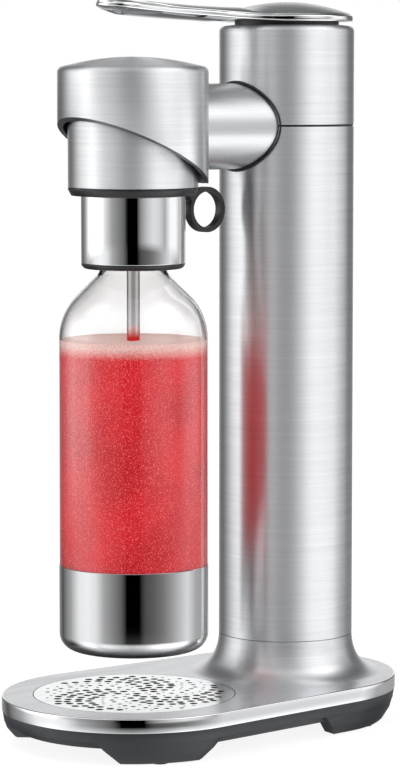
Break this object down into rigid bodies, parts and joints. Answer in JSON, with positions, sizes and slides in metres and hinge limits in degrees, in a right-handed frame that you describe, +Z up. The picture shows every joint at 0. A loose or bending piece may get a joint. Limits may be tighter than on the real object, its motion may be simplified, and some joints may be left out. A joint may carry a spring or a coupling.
{
  "type": "soda carbonator",
  "caption": "Counter-top soda carbonator: column with press lever, arm and head holding a filled bottle by its cap over a drip tray.",
  "frame": {"origin": "centre of the base's outline, on the counter", "axes": "+Z up, -Y to the front where the bottle hangs, +X to the right seen from the front"},
  "size_m": [0.1538, 0.2586, 0.4298],
  "materials": {
    "brushed_steel": "brushed round the axis",
    "satin_deck": "fine satin",
    "perforated_steel": "satin, punched",
    "polished_steel": "mirror polished",
    "dark_plastic": "fine matt grain",
    "black_plastic": "satin",
    "inner_plastic": "matt",
    "rubber": "matt",
    "cast_metal": "as cast",
    "ballast_iron": "painted",
    "brass": "machined",
    "cylinder_paint": "gloss paint",
    "spring_steel": "drawn wire",
    "fastener_steel": "zinc plated",
    "clear_plastic": "clear, glossy",
    "drink": "translucent red liquid"
  },
  "bodies": {
    "stand": {"base_plate": "satin_deck", "trim_band": "polished_steel", "base_skirt": "dark_plastic", "ballast_plate": "ballast_iron", "foot_pads": "rubber", "base_screws": "fastener_steel", "column_tube": "brushed_steel", "seam_ring": "black_plastic", "column_frame": "inner_plastic", "upper_housing": "brushed_steel", "lever_bracket": "cast_metal", "lever_pin": "fastener_steel", "valve_block": "brass", "valve_seal": "rubber", "gas_tube": "cast_metal", "arm_shell": "brushed_steel", "arm_gasket": "rubber", "arm_frame": "cast_metal", "head_cover": "brushed_steel", "head_collar": "brushed_steel", "head_frame": "inner_plastic", "injector_block": "brass", "nozzle_seal": "rubber"},
    "tray": {"drip_tray": "black_plastic", "drip_grille": "perforated_steel"},
    "rear_cover": {"rear_cover": "brushed_steel", "cover_liner": "inner_plastic"},
    "co2_cylinder": {"co2_cylinder": "cylinder_paint", "cylinder_valve": "brass"},
    "lever": {"lever_top": "brushed_steel", "lever_body": "polished_steel", "lever_skirt": "black_plastic"},
    "plunger": {"valve_plunger": "cast_metal", "plunger_spring": "spring_steel"},
    "bayonet": {"bayonet_collar": "inner_plastic"},
    "cap": {"cap_flange": "black_plastic", "cap_sleeve": "polished_steel", "cap_base_ring": "black_plastic", "cap_core": "black_plastic", "cap_gasket": "rubber", "pressure_valve": "brass", "dip_tube": "polished_steel", "tube_tip": "black_plastic", "release_pin": "fastener_steel"},
    "release_ring": {"release_ring": "black_plastic"},
    "bottle": {"bottle": "clear_plastic", "bottle_cup": "polished_steel", "drink": "drink"}
  },
  "joints": [
    {"name": "lever_press", "type": "hinge", "parent": "stand", "child": "lever", "pos_m": [0, 0.08325, 0.4095], "axis": [1, 0, 0], "range_deg": [0, 3], "stiffness_Nm_per_rad": 8, "springref_deg": -6.88},
    {"name": "plunger_press", "type": "slide", "parent": "stand", "child": "plunger", "axis": [0, 0, 1], "range_m": [-0.00095, 0], "deforming": ["plunger_spring"]},
    {"name": "tray_lift", "type": "slide", "parent": "stand", "child": "tray", "axis": [0, 0, 1], "range_m": [0, 0.012]},
    {"name": "rear_cover_off", "type": "slide", "parent": "stand", "child": "rear_cover", "axis": [0, 1, 0], "range_m": [0, 0.06]},
    {"name": "cylinder_unscrew", "type": "hinge", "parent": "stand", "child": "co2_cylinder", "pos_m": [0, 0.06525, 0.05], "axis": [0, 0, 1], "continuous": true},
    {"name": "bayonet_turn", "type": "hinge", "parent": "stand", "child": "bayonet", "pos_m": [0, -0.05235, 0.33], "axis": [0, 0, 1], "range_deg": [-30, 0]},
    {"name": "cap_drop", "type": "slide", "parent": "bayonet", "child": "cap", "axis": [0, 0, -1], "range_m": [0, 0.011]},
    {"name": "bottle_unscrew", "type": "hinge", "parent": "cap", "child": "bottle", "pos_m": [0, -0.05235, 0.29], "axis": [0, 0, 1], "continuous": true},
    {"name": "release_lift", "type": "hinge", "parent": "cap", "child": "release_ring", "pos_m": [0, -0.01235, 0.3184], "axis": [1, 0, 0], "range_deg": [0, 20]}
  ],
  "couplings": [
    {"joint": "plunger_press", "follows": "lever_press", "m_per_rad": -0.018}
  ]
}
